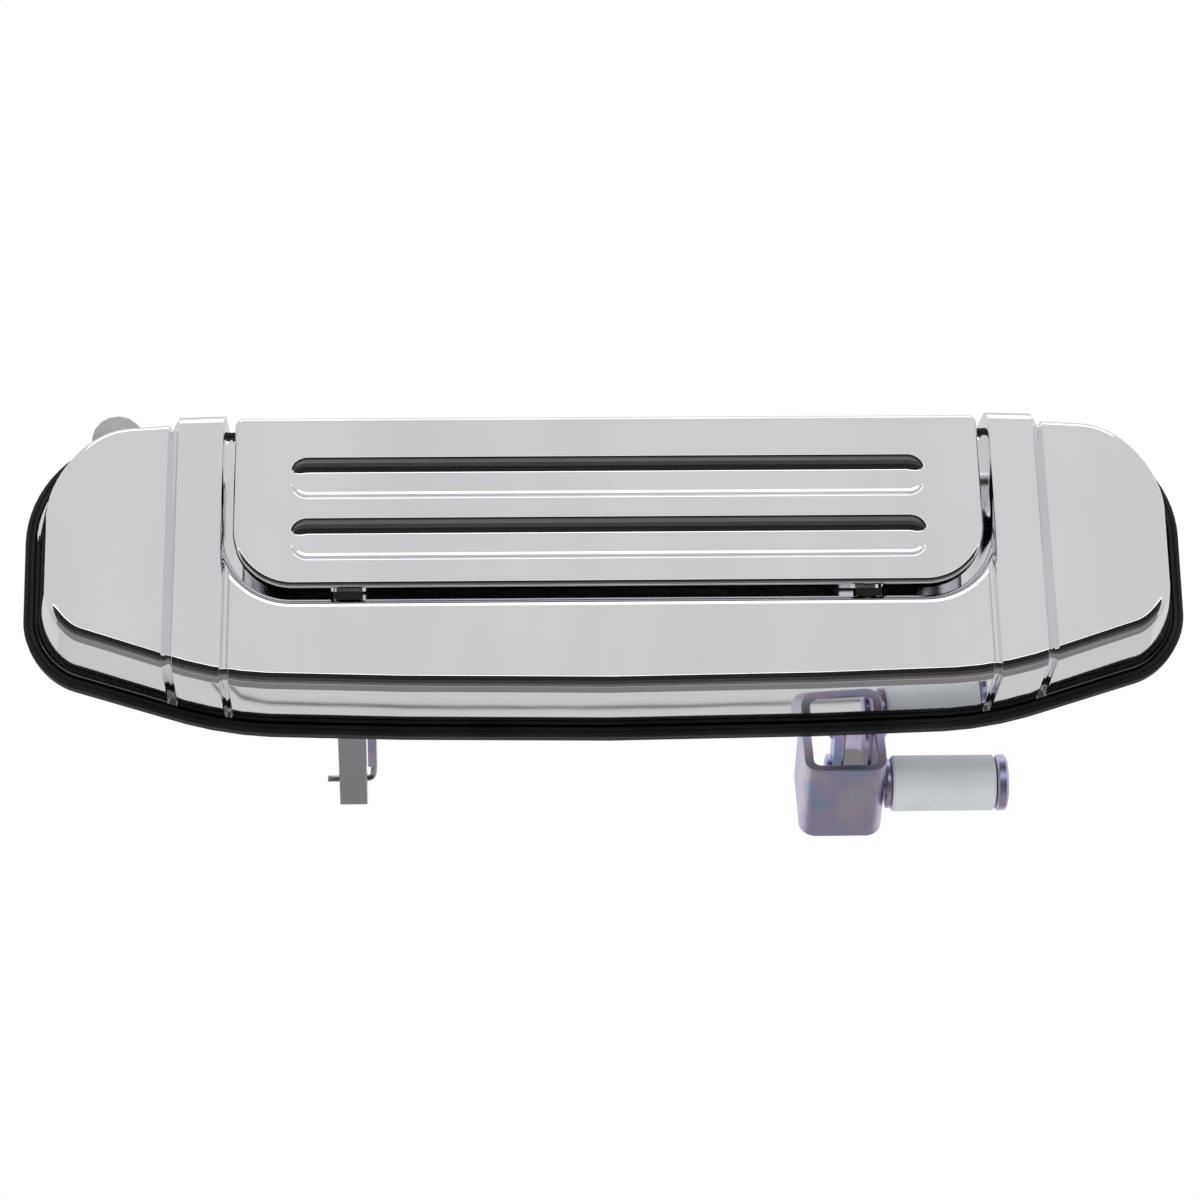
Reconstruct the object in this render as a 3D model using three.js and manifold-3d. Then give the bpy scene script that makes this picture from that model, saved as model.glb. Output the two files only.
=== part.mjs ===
// Flap-type outside door handle of a car, for the right-hand side.
// Millimetres. +X runs along the handle, +Y goes into the door, +Z is up.
// The origin is on the rear face of the casting's pocket floor, near the middle of the handle.
import * as THREE from 'three';
import { mergeVertices } from 'three/addons/utils/BufferGeometryUtils.js';
import Module from 'manifold-3d';

const wasm = await Module();
wasm.setup();

// ---- driving dimensions -------------------------------------------------------------------
const clearance = 0.3; // between pieces that touch on the real handle
const sunk = 0.5; // of one body into another that it is joined to
const past = 1; // of a cutting body beyond what it cuts

// outline of the gasket, from which every other outline is an inset
const halfLength = 107.5;
const topCrown = 32;
const topShoulder = { x: 80, z: 29.6, radius: 60 };
const topCorner = { z: 28, radius: 21 };
const lowCorner = { z: -17, radius: 13.5 };
const lowShoulder = { x: 70, z: -28.6, radius: 60 };
const lowCrown = -30.8;
const crownRadius = 1200;

// casting
const faceDepth = 20; // front face in front of the rear face
const wall = 2.2;
const footInset = 2; // from the gasket's edge to the foot of the casting's wall
const draft = 1.6;
const endLean = { from: 84, run: 20, by: 2.2 }; // the rounded ends lean in further than the long walls
const faceRound = 2.8;
const innerRound = 1;
const bandHalfInner = 70; // inner edge of the raised end bands, also the side of the opening
const grooveNear = 78.3;
const grooveWidth = 2.2;
const grooveDepth = 1;
const shortGrooveWidth = 1.8;
const sideLean = THREE.MathUtils.degToRad(0.9);
const rearRelief = 0.6; // of the pocket floor's rear face, round the datum pad at the origin
const datumPadRadius = 7;
const rimChamfer = 3.2; // round the opening
const footFlange = 1.2; // left whole where a groove ends at the foot

// gasket
const gasketLip = 0.8; // stands round the foot of the wall
const gasketBase = 1.5;
const gasketWidth = 4.2;

// flap
const flapHalfWidth = 68.2;
const flapTop = 25.5;
const flapBottom = -7;
const flapThickness = 3.5;
const flapCornerRadius = 11;
const flapTopCornerRadius = 1.5;
const flapGap = 1.6; // under the flap
const flute = { halfLength: 57.7, height: 7.4, depth: 1.3, z: [13.6, 1.9] };

// hinge
const hinge = { y: -11.2, z: -16.2 };
const pinRadius = 2.4;
const runningGap = 0.08;
const bushWall = 0.9;
const knuckleRadius = 4;
const lugWidth = 3.5;
const clipWidth = 0.9;
const clipRadius = 3.6;
const clipGrooveRadius = 1.8;
const clipPlay = 0.1; // of the clip in its groove, each side
const clipMouth = 1.4; // half the width of its open side
const pinOverhang = 1.1; // past each clip

// arms of the flap
const leftArm = { start: -50, width: 5.2 };
const rightArm = { start: 44.6, width: 4.8 };
const knee = { y: 3.5, z: -21 }; // where the arm bends down behind the gasket
const tailSlope = THREE.MathUtils.degToRad(27);
const tailLength = 28.5; // from the knee
const tailHalfThickness = 2.6;
const tailChamfer = 2;
const slotLip = 1.4; // of the rim in front of the arm slots
const springHole = { along: 22, radius: 1.25 };
const springBeside = 1.2; // middle of the wire from the arm's inner side
const springEnd = 2.2; // of the wire past the arm's outer side
const springCrossing = { before: 1.7, above: 3.7 }; // from the knee to where the wire crosses over
const springSlack = 0.1;
const springFixed = 0.3; // length left between the last turn and the fixed leg

// steel hinge bracket, and the steel plates on the inner sides of the arms
const earThickness = 1.6;
const plateThickness = 1.6;
const plateTails = [19, 24];
const plateChamfer = 3;
const bracketWeb = 1.6;
const bracketRelief = 0.8; // of the bracket in front of the casting's rear face
const bossDrop = 0.4; // of the casting's screw bosses below the pocket
const screwBoss = 3.2;

// return spring
const spring = { wireRadius: 0.6, coilRadius: 3.2, turns: 6.6, pitch: 1.7, startAngle: Math.PI / 4 };

// lever strap and roller
const strap = { inner: 11.8, sheet: 1.8, start: 6, length: 18, floor: 14, top: 3.4, bend: 3.2 };
const rivetInset = 3.2; // from each end of the strap
const rivetRaise = 0.2; // above the middle line of the arm's tail
const rivetRadius = 1.5;
const rivetHead = 2.3;
const rivetHeadHeight = 1;
const rollerRadius = 5.2;
const rollerLength = 19.2;
const rollerPinRadius = 2.5;
const rollerAxis = { along: 14.5, below: 9.3 };
const headThickness = 2;
const pinTailLength = 0.8; // of the roller's pin inside the strap
const washerThickness = 0.8;
const washerRadius = 4.6;

// fixings
const stud = { x: 88, z: 8, radius: 3, reach: 16, seat: 7, tipRadius: 2.2, tip: 1.5 };
const bossRadius = 6;
const bossRecess = 0.6;
const bumper = { x: 63.5, z: 17, radius: 2.8, length: 3.2, stem: 1.2, stemLength: 3 };
const bumperLand = 0.6; // of the post round the bumper's head
const ear = { x: -91.2, z: 29.6, radius: 4.8, footRadius: 4, thickness: 5, rootX: -82, rootZ: 19 };
const screwRadius = 1.6;
const screwHead = { radius: 3, height: 1.6 };
const earScrewDepth = 9;
const bracketScrewX = 20;
const screwTop = 1.2; // of the bracket screws below the pocket's lower wall
const screwSocket = { radius: 1, depth: 0.8 };

// ---- small tools --------------------------------------------------------------------------
function toSolid(geometry) {
  geometry.deleteAttribute('normal');
  geometry.deleteAttribute('uv');
  const merged = mergeVertices(geometry, 1e-4);
  return new wasm.Manifold(new wasm.Mesh({
    numProp: 3,
    vertProperties: new Float32Array(merged.attributes.position.array),
    triVerts: new Uint32Array(merged.index.array),
  }));
}

function join(...solids) {
  return solids.reduce((all, next) => all.add(next));
}

function cut(solid, ...tools) {
  return tools.reduce((rest, tool) => rest.subtract(tool), solid);
}

function box(x0, x1, y0, y1, z0, z1) {
  const geometry = new THREE.BoxGeometry(x1 - x0, y1 - y0, z1 - z0);
  geometry.translate((x0 + x1) / 2, (y0 + y1) / 2, (z0 + z1) / 2);
  return toSolid(geometry);
}

// round bar along X, from x0 to x1
function barX(radius, x0, x1, y, z, sides = 32) {
  const geometry = new THREE.CylinderGeometry(radius, radius, x1 - x0, sides);
  geometry.rotateZ(-Math.PI / 2);
  geometry.translate((x0 + x1) / 2, y, z);
  return toSolid(geometry);
}

// round bar along Y, from y0 to y1
function barY(radius, y0, y1, x, z, sides = 28) {
  const geometry = new THREE.CylinderGeometry(radius, radius, y1 - y0, sides);
  geometry.translate(x, (y0 + y1) / 2, z);
  return toSolid(geometry);
}

// round bar along Z, from z0 to z1
function barZ(radius, x, y, z0, z1, sides = 24) {
  const geometry = new THREE.CylinderGeometry(radius, radius, z1 - z0, sides);
  geometry.rotateX(Math.PI / 2);
  geometry.translate(x, y, (z0 + z1) / 2);
  return toSolid(geometry);
}

// a shape drawn in X and Z, carried along Y from its front to its back
function plateXZ(shape, front, back, bevel = {}) {
  const round = { bevelEnabled: false, curveSegments: 4, ...bevel };
  const geometry = new THREE.ExtrudeGeometry(shape, { depth: back - front, ...round });
  geometry.rotateX(Math.PI / 2);
  geometry.translate(0, back, 0);
  return toSolid(geometry);
}

// a shape drawn in Y and Z, carried along X
function plateYZ(shape, x0, x1) {
  const geometry = new THREE.ExtrudeGeometry(shape, {
    depth: x1 - x0,
    bevelEnabled: false,
    curveSegments: 6,
  });
  const axes = [new THREE.Vector3(0, 1, 0), new THREE.Vector3(0, 0, 1), new THREE.Vector3(1, 0, 0)];
  geometry.applyMatrix4(new THREE.Matrix4().makeBasis(...axes));
  geometry.translate(x0, 0, 0);
  return toSolid(geometry);
}

// closed outline through corners [{x, z, radius}], each rounded by an arc
function roundedOutline(corners) {
  const shape = new THREE.Shape();
  corners.forEach((corner, i) => {
    const here = new THREE.Vector2(corner.x, corner.z);
    const before = corners.at(i - 1);
    const after = corners[(i + 1) % corners.length];
    const back = new THREE.Vector2(before.x, before.z).sub(here).normalize();
    const on = new THREE.Vector2(after.x, after.z).sub(here).normalize();
    const half = Math.acos(THREE.MathUtils.clamp(back.dot(on), -1, 1)) / 2;
    if (!corner.radius) {
      i === 0 ? shape.moveTo(here.x, here.y) : shape.lineTo(here.x, here.y);
      return;
    }
    const reach = corner.radius / Math.tan(half);
    const start = here.clone().addScaledVector(back, reach);
    const end = here.clone().addScaledVector(on, reach);
    const inwards = back.clone().add(on).normalize();
    const middle = here.clone().addScaledVector(inwards, corner.radius / Math.sin(half));
    const clockwise = back.cross(on) > 0;
    i === 0 ? shape.moveTo(start.x, start.y) : shape.lineTo(start.x, start.y);
    const from = start.sub(middle).angle();
    const to = end.sub(middle).angle();
    shape.absarc(middle.x, middle.y, corner.radius, from, to, clockwise);
  });
  shape.closePath();
  return shape;
}

// the same corners with every edge moved inwards
function insetCorners(corners, distance) {
  const lines = corners.map((corner, i) => {
    const next = corners[(i + 1) % corners.length];
    const along = new THREE.Vector2(next.x - corner.x, next.z - corner.z).normalize();
    const point = new THREE.Vector2(corner.x - along.y * distance, corner.z + along.x * distance);
    return { point, along };
  });
  return corners.map((corner, i) => {
    const a = lines.at(i - 1);
    const b = lines[i];
    const t = b.point.clone().sub(a.point).cross(b.along) / a.along.cross(b.along);
    const moved = a.point.clone().addScaledVector(a.along, t);
    return { x: moved.x, z: moved.y, radius: Math.max(corner.radius - distance, 1) };
  });
}

// corners of the handle's outline, going round anticlockwise, inset from the gasket's edge
function outlineCorners(distance) {
  const right = [
    { ...lowShoulder },
    { x: halfLength, ...lowCorner },
    { x: halfLength, ...topCorner },
    { ...topShoulder },
  ];
  const left = right.map((corner) => ({ ...corner, x: -corner.x })).reverse();
  const top = { x: 0, z: topCrown, radius: crownRadius };
  const bottom = { x: 0, z: lowCrown, radius: crownRadius };
  return insetCorners([bottom, ...right, top, ...left], distance);
}

function outline(distance) {
  return roundedOutline(outlineCorners(distance));
}

// block that tapers from its foot at the rear to its front, with a rounded front edge.
// The bevel's rings keep their outward offset, and their depth follows an arc and then the draft.
function draftedBlock(atFront, front, back, radius, rings) {
  const spare = 2;
  const slope = draft / (back - front);
  const spread = radius + slope * (back + spare - front - radius);
  const geometry = new THREE.ExtrudeGeometry(outline(atFront + radius), {
    depth: 1,
    curveSegments: 4,
    bevelEnabled: true,
    bevelSegments: rings,
    bevelSize: spread,
    bevelThickness: 1,
  });
  const position = geometry.attributes.position;
  for (let i = 0; i < position.count; i += 1) {
    const level = position.getZ(i) - 1; // 1 on the front face, 0 at the last ring of the bevel
    const offset = spread * Math.sqrt(Math.max(0, 1 - level * level));
    const onArc = radius - Math.sqrt(Math.max(0, radius * radius - offset * offset));
    const depth = offset < radius ? onArc : radius + (offset - radius) / slope;
    position.setZ(i, level >= 0 ? -front - depth : -back - spare - 1);
    const x = position.getX(i);
    const beyond = Math.max(0, Math.abs(x) - endLean.from) / endLean.run;
    const forward = Math.max(0, position.getZ(i)) / faceDepth;
    position.setX(i, x - Math.sign(x) * endLean.by * beyond * forward);
  }
  geometry.rotateX(Math.PI / 2);
  const span = halfLength + 1;
  return cut(toSolid(geometry), box(-span, span, back, back + 2 * spare, -span, span));
}

// x of a leaning upright edge at height z, for the side that sign names
function leaning(x, z, sign) {
  return sign * (x - z * Math.tan(sideLean));
}

// place along an arm's tail: along it from the knee, and below its middle line
function onTail(along, below) {
  return {
    y: knee.y + along * Math.cos(tailSlope) - below * Math.sin(tailSlope),
    z: knee.z - along * Math.sin(tailSlope) - below * Math.cos(tailSlope),
  };
}

// place along the straight stretch from the hinge to the knee, whose length is 1
function toKnee(share, below) {
  const run = new THREE.Vector2(knee.y - hinge.y, knee.z - hinge.z);
  const down = new THREE.Vector2(run.y, -run.x).normalize();
  return { y: hinge.y + run.x * share + down.x * below, z: hinge.z + run.y * share + down.y * below };
}

// bar of an arm or of the plate beside it: from the hinge over the knee to its end, chamfered below
function tailBar(x0, x1, length, chamfer) {
  const half = tailHalfThickness;
  const root = [toKnee(0, -half), toKnee(0, half), toKnee(1, half), toKnee(1, -half)];
  const tail = [onTail(0, -half), onTail(0, half), onTail(length - chamfer, half),
    onTail(length, half - chamfer), onTail(length, -half)];
  return join(plateYZ(shapeYZ(root), x0, x1), plateYZ(shapeYZ(tail), x0, x1),
    barX(half, x0, x1, knee.y, knee.z));
}

function shapeYZ(points) {
  return new THREE.Shape(points.map((point) => new THREE.Vector2(point.y, point.z)));
}

const group = new THREE.Group();

function addPiece(name, solid, look) {
  const mesh = solid.getMesh();
  const geometry = new THREE.BufferGeometry();
  geometry.setAttribute('position', new THREE.BufferAttribute(new Float32Array(mesh.vertProperties), 3));
  geometry.setIndex(new THREE.BufferAttribute(new Uint32Array(mesh.triVerts), 1));
  const piece = new THREE.Mesh(geometry, new THREE.MeshStandardMaterial(look));
  piece.name = name;
  group.add(piece);
}

const chrome = { color: '#d6d6dc', roughness: 0.08, metalness: 1 };
const rubber = { color: '#17171a', roughness: 0.7, metalness: 0 };
const zinc = { color: '#b4b9cc', roughness: 0.35, metalness: 1 };
const steel = { color: '#8f9196', roughness: 0.35, metalness: 1 };
const rawCasting = { color: '#a9aaac', roughness: 0.6, metalness: 0.9 };
const nylon = { color: '#eef0ea', roughness: 0.45, metalness: 0 };

// ---- places worked out from the dimensions ------------------------------------------------
const sides = [-1, 1];
const sideNames = ['left', 'right'];
const arms = [leftArm, rightArm];
const faceInset = footInset + draft;
const front = -faceDepth;
const flapBack = front + flapThickness;
const pocketFloor = -wall;
const openingBottom = flapBottom - flapGap;
const pocketUnder = openingBottom - wall;
const farUp = topCrown + 10;
const slotGap = clearance + 0.2;
const lugs = [
  { start: leftArm.start - slotGap - lugWidth },
  { start: rightArm.start + rightArm.width + slotGap },
];
const clipPlaces = [lugs[0].start - clearance - clipWidth, lugs[1].start + lugWidth + clearance];
const pinStart = clipPlaces[0] - pinOverhang;
const pinEnd = clipPlaces[1] + clipWidth + pinOverhang;
const bushOuter = pinRadius + runningGap + bushWall;
const webTop = pocketUnder - clearance - bossDrop;
const earRadius = knuckleRadius - clearance;
const webFront = hinge.y + earRadius + 2 * clearance;
const webBack = -bracketRelief;
const bracketScrewY = (webFront + webBack) / 2;
const leftArmEnd = leftArm.start + leftArm.width;
const rightArmEnd = rightArm.start + rightArm.width;
const plateStarts = [leftArmEnd + clearance, rightArm.start - clearance - plateThickness];
const earStarts = [
  plateStarts[0] + plateThickness + clearance,
  plateStarts[1] - clearance - earThickness,
];
const legX = earStarts[0] + earThickness + clearance + spring.wireRadius;
const postFront = flapBack + 2 * clearance + bumper.length;
const strapRight = rightArmEnd + clearance + strap.sheet;
const rivetPlaces = [strap.start + rivetInset, strap.start + strap.length - rivetInset].map((along) =>
  onTail(along, -rivetRaise));
const rollerPlace = onTail(rollerAxis.along, rollerAxis.below);
const earFront = clearance + gasketBase + clearance;

// opening for the flap, round at its lower corners and open at the top
function openingShape(grow) {
  const low = openingBottom - grow;
  const radius = flapCornerRadius + flapGap + grow;
  const half = bandHalfInner + grow;
  return roundedOutline([
    { x: leaning(half, low, -1), z: low, radius },
    { x: leaning(half, low, 1), z: low, radius },
    { x: leaning(half, farUp, 1), z: farUp, radius: 0 },
    { x: leaning(half, farUp, -1), z: farUp, radius: 0 },
  ]);
}

function leaningStrip(sign, near, width, z0, z1, y0, y1) {
  const corners = [[near, z0], [near + width, z0], [near + width, z1], [near, z1]];
  const ordered = sign > 0 ? corners : corners.reverse();
  const shape = new THREE.Shape(ordered.map(([x, z]) => new THREE.Vector2(leaning(x, z, sign), z)));
  return plateXZ(shape, y0, y1);
}

function makeCasting() {
  // the grooves run over the face and down the walls, at one depth below the skin
  const skin = draftedBlock(faceInset, front, 0, faceRound, 8);
  const core = draftedBlock(faceInset + grooveDepth, front + grooveDepth, 0, faceRound, 8);
  const grooves = [];
  for (const sign of [-1, 1]) {
    grooves.push(leaningStrip(sign, grooveNear, grooveWidth, -farUp, farUp, front - 1, -footFlange));
    grooves.push(leaningStrip(sign, bandHalfInner - shortGrooveWidth, shortGrooveWidth,
      -farUp, openingBottom + 2, front - 1, -footFlange));
  }
  const grooved = join(core, cut(skin, ...grooves));

  // hollow from the rear, leaving the pocket's walls, the lugs for the hinge pin and the bosses
  const inner = draftedBlock(faceInset + wall, front + wall, 1, innerRound, 6);
  const pocketWalls = plateXZ(openingShape(wall), front, 2);
  const lugPlates = lugs.map((lug) => box(lug.start, lug.start + lugWidth, front,
    hinge.y + knuckleRadius, -farUp, pocketUnder + 1));
  const bosses = sides.map((sign) => barY(bossRadius, front + wall, -bossRecess, sign * stud.x, stud.z));
  const earPost = barY(ear.footRadius, front + wall, 0, ear.rootX, ear.rootZ);
  const screwPosts = sides.map((sign) => barZ(screwBoss, sign * bracketScrewX, bracketScrewY,
    webTop + clearance, pocketUnder + 1));
  const hollow = cut(inner, pocketWalls, ...lugPlates, ...bosses, earPost, ...screwPosts);

  const pocket = join(plateXZ(openingShape(0), front - 5, -wall), plateXZ(openingShape(0), front - 5, front,
    { bevelEnabled: true, bevelSegments: 1, bevelSize: rimChamfer, bevelThickness: rimChamfer }));
  const posts = sides.map((sign) => barY(bumper.radius + bumperLand, postFront, sunk - wall,
    sign * bumper.x, bumper.z));
  const casting = join(cut(grooved, hollow, pocket), ...posts);

  const pinHole = barX(pinRadius + runningGap, pinStart - 1, pinEnd + 1, hinge.y, hinge.z);
  const armSlots = arms.map((arm) => box(arm.start - slotGap, arm.start + arm.width + slotGap,
    front + slotLip, -4, pocketUnder - 1, openingBottom + 4));
  const studHoles = sides.map((sign) => barY(stud.radius + clearance, -stud.seat - clearance, 1,
    sign * stud.x, stud.z));
  const earHole = barY(screwRadius + clearance, -earScrewDepth - clearance, 1, ear.rootX, ear.rootZ, 20);
  const bumperHoles = sides.map((sign) => barY(bumper.stem + clearance, postFront - 1,
    postFront + bumper.stemLength + clearance, sign * bumper.x, bumper.z, 20));
  const screwHoles = sides.map((sign) => barZ(screwRadius + clearance, sign * bracketScrewX, bracketScrewY,
    pocketUnder - 5, openingBottom - 0.8, 20));
  const relief = cut(box(4 - flapHalfWidth, flapHalfWidth - 4, -rearRelief, 1, openingBottom, flapTop - 2),
    barY(datumPadRadius, -wall, 2, 0, 0));
  return cut(casting, relief, pinHole, ...armSlots, ...studHoles, earHole, ...bumperHoles, ...screwHoles);
}
addPiece('bezel', makeCasting(), chrome);

// ---- gasket -------------------------------------------------------------------------------
function makeGasket() {
  const lip = cut(plateXZ(outline(0), -gasketLip, clearance + gasketBase),
    plateXZ(outline(footInset - clearance), -gasketLip - 1, clearance));
  const base = plateXZ(outline(0), clearance, clearance + gasketBase);
  const through = plateXZ(outline(gasketWidth), -gasketLip - 1, clearance + gasketBase + 1);
  return cut(join(lip, base), through);
}
addPiece('gasket', makeGasket(), rubber);

// ---- flap with its two arms ---------------------------------------------------------------
function flapOutline(distance) {
  const corners = [
    { x: leaning(flapHalfWidth, flapBottom, -1), z: flapBottom, radius: flapCornerRadius },
    { x: leaning(flapHalfWidth, flapBottom, 1), z: flapBottom, radius: flapCornerRadius },
    { x: leaning(flapHalfWidth, flapTop, 1), z: flapTop, radius: flapTopCornerRadius },
    { x: leaning(flapHalfWidth, flapTop, -1), z: flapTop, radius: flapTopCornerRadius },
  ];
  return roundedOutline(insetCorners(corners, distance));
}

function fluteCutter(z) {
  const half = flute.height / 2;
  const shape = new THREE.Shape();
  shape.absarc(flute.halfLength - half, z, half - flute.depth, -Math.PI / 2, Math.PI / 2, false);
  shape.absarc(half - flute.halfLength, z, half - flute.depth, Math.PI / 2, 1.5 * Math.PI, false);
  return plateXZ(shape, front - 1, front,
    { bevelEnabled: true, bevelSegments: 1, bevelSize: flute.depth, bevelThickness: flute.depth });
}

function makeArm(arm) {
  const end = arm.start + arm.width;
  const neck = [
    { y: flapBack - 0.6, z: flapBottom + 1 },
    { y: hinge.y - 4, z: openingBottom + 0.5 },
    { y: hinge.y - knuckleRadius, z: hinge.z },
    { y: hinge.y + knuckleRadius, z: hinge.z },
    { y: hinge.y + 1, z: openingBottom + 1 },
    { y: flapBack - 0.6, z: flapBottom + 9 },
  ];
  return join(plateYZ(shapeYZ(neck), arm.start, end), tailBar(arm.start, end, tailLength, tailChamfer),
    barX(knuckleRadius, arm.start, end, hinge.y, hinge.z));
}

function makeFlap() {
  const round = 0.8;
  const plate = plateXZ(flapOutline(round), front + round, flapBack,
    { bevelEnabled: true, bevelSegments: 2, bevelSize: round, bevelThickness: round });
  const span = halfLength;
  const behind = box(-span, span, flapBack, flapBack + flapThickness, -span, span);
  const skin = cut(plate, behind, ...flute.z.map(fluteCutter));
  const hook = onTail(springHole.along, 0);
  const rivets = rivetPlaces.map((place) => barX(rivetRadius + clearance, rightArm.start - past,
    rightArmEnd + past, place.y, place.z, 20));
  const bores = barX(bushOuter + clearance / 2, leftArm.start - past, rightArmEnd + past,
    hinge.y, hinge.z);
  const hole = barX(springHole.radius, leftArm.start - past, leftArmEnd + past, hook.y, hook.z, 16);
  return cut(join(skin, ...arms.map(makeArm)), bores, hole, ...rivets);
}
addPiece('flap', makeFlap(), chrome);

sideNames.forEach((name, i) => {
  const arm = arms[i];
  const sleeve = cut(barX(bushOuter, arm.start, arm.start + arm.width, hinge.y, hinge.z),
    barX(pinRadius + runningGap, arm.start - 1, arm.start + arm.width + 1, hinge.y, hinge.z));
  addPiece(`arm_bush_${name}`, sleeve, nylon);
});

// ---- hinge pin, clips and bracket ---------------------------------------------------------
function makePin() {
  const grooves = clipPlaces.map((x) => cut(
    barX(pinRadius + past, x - clipPlay, x + clipWidth + clipPlay, hinge.y, hinge.z),
    barX(clipGrooveRadius, x - past, x + clipWidth + past, hinge.y, hinge.z)));
  return cut(barX(pinRadius, pinStart, pinEnd, hinge.y, hinge.z), ...grooves);
}
addPiece('hinge_pin', makePin(), steel);

sideNames.forEach((name, i) => {
  const x = clipPlaces[i];
  const ring = cut(barX(clipRadius, x, x + clipWidth, hinge.y, hinge.z),
    barX(clipGrooveRadius + clearance / 3, x - 1, x + clipWidth + 1, hinge.y, hinge.z),
    box(x - past, x + clipWidth + past, hinge.y - clipMouth, hinge.y + clipMouth,
      hinge.z - clipRadius - past, hinge.z));
  addPiece(`pin_clip_${name}`, ring, steel);
});

function makeBracket() {
  const ears = earStarts.map((x) => join(
    barX(earRadius, x, x + earThickness, hinge.y, hinge.z),
    box(x, x + earThickness, hinge.y, webBack, hinge.z - earRadius * 0.7, webTop)));
  const web = box(earStarts[0], earStarts[1] + earThickness, webFront, webBack,
    webTop - bracketWeb, webTop);
  const pinHole = barX(pinRadius + runningGap, pinStart, pinEnd, hinge.y, hinge.z);
  const screwHoles = sides.map((sign) => barZ(screwRadius + clearance, sign * bracketScrewX, bracketScrewY,
    webTop - 4, webTop + 2, 20));
  return cut(join(web, ...ears), pinHole, ...screwHoles);
}
addPiece('hinge_bracket', makeBracket(), zinc);

sideNames.forEach((name, i) => {
  const x = sides[i] * bracketScrewX;
  const headTop = webTop - bracketWeb - clearance;
  const head = barZ(screwHead.radius, x, bracketScrewY, headTop - screwHead.height, headTop);
  const shank = barZ(screwRadius, x, bracketScrewY, headTop - sunk, openingBottom - screwTop, 20);
  const headFront = headTop - screwHead.height;
  const recess = barZ(screwSocket.radius, x, bracketScrewY,
    headFront - past, headFront + screwSocket.depth, 6);
  addPiece(`bracket_screw_${name}`, cut(join(head, shank), recess), zinc);
});

// plates on the arms: they share the hinge pin and follow the tails
sideNames.forEach((name, i) => {
  const x = plateStarts[i];
  const end = x + plateThickness;
  const holes = i === 0 ? [] : rivetPlaces.map((place) => barX(rivetRadius + clearance, x - 1, end + 1,
    place.y, place.z, 20));
  addPiece(`arm_plate_${name}`, cut(join(barX(earRadius, x, end, hinge.y, hinge.z),
    tailBar(x, end, plateTails[i], plateChamfer)),
    barX(pinRadius + runningGap, x - 1, end + 1, hinge.y, hinge.z), ...holes), zinc);
});

// ---- return spring ------------------------------------------------------------------------
function makeSpring() {
  const { coilRadius, turns, pitch, wireRadius, startAngle } = spring;
  const hook = onTail(springHole.along, 0);
  // the moving leg is hooked through the arm, climbs beside it and lies along its upper side
  const beside = leftArmEnd + springBeside;
  const over = -tailHalfThickness - clearance - wireRadius - springSlack;
  const along = springHole.along;
  const points = [leftArm.start - springEnd, leftArm.start + springEnd, beside - wireRadius - springSlack]
    .map((x) => [x, hook.y, hook.z]);
  const leg = [
    onTail(along, over / 2),
    onTail(along - 2 * wireRadius, over),
    onTail(along / 2, over),
    onTail(along / 4, over),
  ];
  points.push(...leg.map((place) => [beside, place.y, place.z]));
  // then it crosses in front of the knee and runs down to the coil
  points.push([(beside + legX) / 2, knee.y - springCrossing.before, knee.z + springCrossing.above]);
  points.push([legX, webBack, knee.z + springCrossing.above - springSlack]);
  points.push([legX, hinge.y + 1.5 * coilRadius, hinge.z - 2 * wireRadius]);
  // the coil winds round the pin and away from the arm
  const steps = 12;
  for (let i = 0; i <= turns * steps; i += 1) {
    const angle = startAngle + (i / steps) * 2 * Math.PI;
    points.push([legX + (i / steps) * pitch, hinge.y + coilRadius * Math.cos(angle),
      hinge.z + coilRadius * Math.sin(angle)]);
  }
  // the fixed leg bears against the bracket's web from below
  const end = legX + turns * pitch + springFixed;
  const under = webTop - bracketWeb - clearance - wireRadius;
  points.push([end, webFront - 1, hinge.z - coilRadius + wireRadius], [end, webBack - 1.5, under]);
  const wire = new THREE.Shape();
  wire.absarc(0, 0, wireRadius, 0, 2 * Math.PI, false);
  const path = points.map((point) => new THREE.Vector3(...point));
  const geometry = new THREE.ExtrudeGeometry(wire, {
    steps: points.length + 30,
    curveSegments: 3,
    bevelEnabled: false,
    extrudePath: new THREE.CatmullRomCurve3(path, false, 'centripetal'),
  });
  return toSolid(geometry);
}
addPiece('return_spring', makeSpring(), steel);

// ---- lever strap, rivets and roller -------------------------------------------------------
function makeStrap() {
  const { inner, sheet, start, length, floor, top, bend } = strap;
  const right = strapRight;
  const left = right - inner - 2 * sheet;
  // the strap's section across the handle, before it is tilted to lie along the arm
  const outside = roundedOutline([
    { x: left, z: -floor, radius: bend }, { x: right, z: -floor, radius: bend },
    { x: right, z: top, radius: 1 }, { x: left, z: top - 2, radius: 1 },
  ]);
  const inside = roundedOutline([
    { x: left + sheet, z: sheet - floor, radius: bend - sheet },
    { x: right - sheet, z: sheet - floor, radius: bend - sheet },
    { x: right - sheet, z: top + 5, radius: 0 }, { x: left + sheet, z: top + 5, radius: 0 },
  ]);
  const hole = (radius, place) => barX(radius + clearance, right - sheet - past, right + past,
    place.y, place.z, 24);
  const holes = rivetPlaces.map((place) => hole(rivetRadius, place));
  return cut(tiltedPlate(outside, inside, start, start + length), ...holes,
    hole(rollerPinRadius, rollerPlace));
}

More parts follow.
